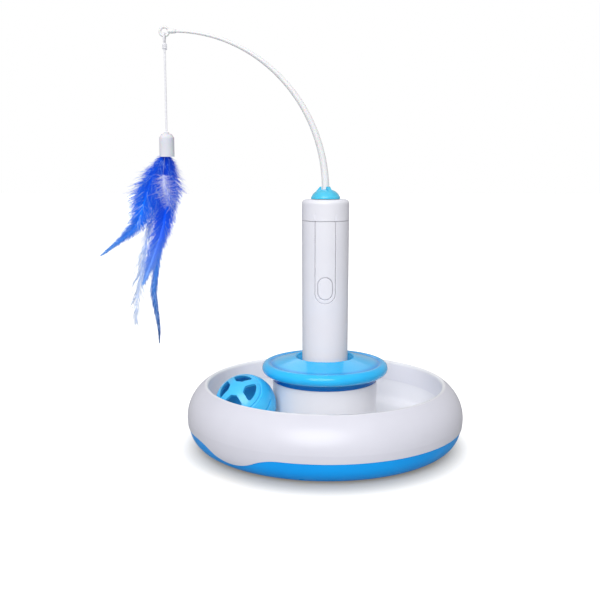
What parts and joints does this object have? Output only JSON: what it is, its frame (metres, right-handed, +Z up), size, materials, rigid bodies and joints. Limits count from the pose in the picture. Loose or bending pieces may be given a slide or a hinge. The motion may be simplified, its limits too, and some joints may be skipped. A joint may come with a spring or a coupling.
{
  "type": "automatic cat toy",
  "caption": "Automatic cat toy: a round track base with a rolling lattice ball, and a motor handle that turns a bent wand with a feather lure on a string.",
  "frame": {"origin": "on the hub's axis, on the plane that the toy stands on", "axes": "+Z up along the hub's axis; -Y is the front, where the button is; the wand bends over towards -X"},
  "size_m": [0.315, 0.24, 0.3557],
  "materials": {
    "azure_plastic": "satin",
    "white_plastic": "satin",
    "blue_gloss": "gloss",
    "handle_plastic": "satin",
    "cyan_plastic": "satin",
    "ball_plastic": "satin",
    "wand_plastic": "satin",
    "soft_rubber": "matte",
    "screw_steel": "satin",
    "motor_steel": "satin",
    "board_green": "satin",
    "chip_black": "matte",
    "nickel": "gloss",
    "cell_wrap": "satin",
    "chassis_grey": "matte",
    "gear_nylon": "satin",
    "bush_brass": "satin",
    "cord_white": "matte",
    "lure_plastic": "satin",
    "feather_blue": "matte",
    "feather_white": "matte"
  },
  "bodies": {
    "base": {"bottom_shell": "azure_plastic", "ring_housing": "white_plastic", "track_tray": "white_plastic", "hub_sleeve": "white_plastic", "track_disc": "blue_gloss", "socket_cup": "white_plastic", "anti_slip_ring": "soft_rubber", "shell_screws": "screw_steel", "hub_screws": "screw_steel"},
    "ball": {"ball_upper_half": "ball_plastic", "ball_lower_half": "ball_plastic"},
    "handle": {"handle_tube": "handle_plastic", "switch_panel": "handle_plastic", "tact_switch": "chip_black", "circuit_board": "board_green", "board_components": "chip_black", "charge_port": "nickel", "battery_cell": "cell_wrap", "cell_tabs": "nickel", "inner_chassis": "chassis_grey", "handle_end_cap": "handle_plastic", "end_cap_screws": "screw_steel", "motor_can": "motor_steel", "motor_screws": "screw_steel", "gearbox_lower_plate": "screw_steel", "gearbox_upper_plate": "screw_steel", "gearbox_posts": "screw_steel", "gearbox_screws": "screw_steel", "gear_spindle": "screw_steel", "handle_cap": "handle_plastic", "output_bushing": "bush_brass"},
    "button": {"power_button": "handle_plastic", "switch_plunger": "chip_black"},
    "motor_rotor": {"motor_shaft": "screw_steel", "motor_pinion": "gear_nylon"},
    "gear_one_body": {"gear_one": "gear_nylon"},
    "gear_two_body": {"gear_two": "gear_nylon"},
    "gear_three_body": {"gear_three": "gear_nylon"},
    "rotor": {"output_gear": "gear_nylon", "output_shaft": "screw_steel", "rotor_dome": "cyan_plastic", "wand_rod": "wand_plastic", "tip_ring": "wand_plastic"},
    "string": {"lure_string": "cord_white"},
    "lure": {"lure_cap": "lure_plastic", "feather_left": "feather_blue", "feather_centre": "feather_blue", "feather_long": "feather_blue", "feather_pale": "feather_white", "down_tuft": "feather_white"}
  },
  "joints": [
    {"name": "ball_orbit", "type": "hinge", "parent": "base", "child": "ball", "pos_m": [0, 0, 0.04], "axis": [0, 0, 1], "continuous": true},
    {"name": "handle_lift", "type": "slide", "parent": "base", "child": "handle", "axis": [0, 0, 1], "range_m": [0, 0.058]},
    {"name": "button_press", "type": "slide", "parent": "handle", "child": "button", "axis": [0, 1, 0], "range_m": [0, 0.0005], "stiffness_N_per_m": 200},
    {"name": "rotor_spin", "type": "hinge", "parent": "handle", "child": "rotor", "pos_m": [0, 0, 0.2134], "axis": [0, 0, 1], "continuous": true},
    {"name": "gear_three_spin", "type": "hinge", "parent": "handle", "child": "gear_three_body", "pos_m": [0, 0.0091, 0.1897], "axis": [0, 0, 1], "continuous": true},
    {"name": "gear_two_spin", "type": "hinge", "parent": "handle", "child": "gear_two_body", "pos_m": [0, 0, 0.1863], "axis": [0, 0, 1], "continuous": true},
    {"name": "gear_one_spin", "type": "hinge", "parent": "handle", "child": "gear_one_body", "pos_m": [0, 0.0091, 0.1829], "axis": [0, 0, 1], "continuous": true},
    {"name": "motor_spin", "type": "hinge", "parent": "handle", "child": "motor_rotor", "pos_m": [0, 0, 0.183], "axis": [0, 0, 1], "continuous": true},
    {"name": "string_swing", "type": "hinge", "parent": "rotor", "child": "string", "pos_m": [-0.13441, 0, 0.35098], "axis": [0, 1, 0], "range_deg": [-20, 70]},
    {"name": "lure_swing", "type": "hinge", "parent": "string", "child": "lure", "pos_m": [-0.13441, 0, 0.269], "axis": [1, 0, 0], "range_deg": [-35, 35]}
  ],
  "couplings": [
    {"joint": "gear_three_spin", "follows": "rotor_spin", "ratio": -2.6},
    {"joint": "gear_two_spin", "follows": "rotor_spin", "ratio": 6.76},
    {"joint": "gear_one_spin", "follows": "rotor_spin", "ratio": -17.576},
    {"joint": "motor_spin", "follows": "rotor_spin", "ratio": 45.698}
  ]
}
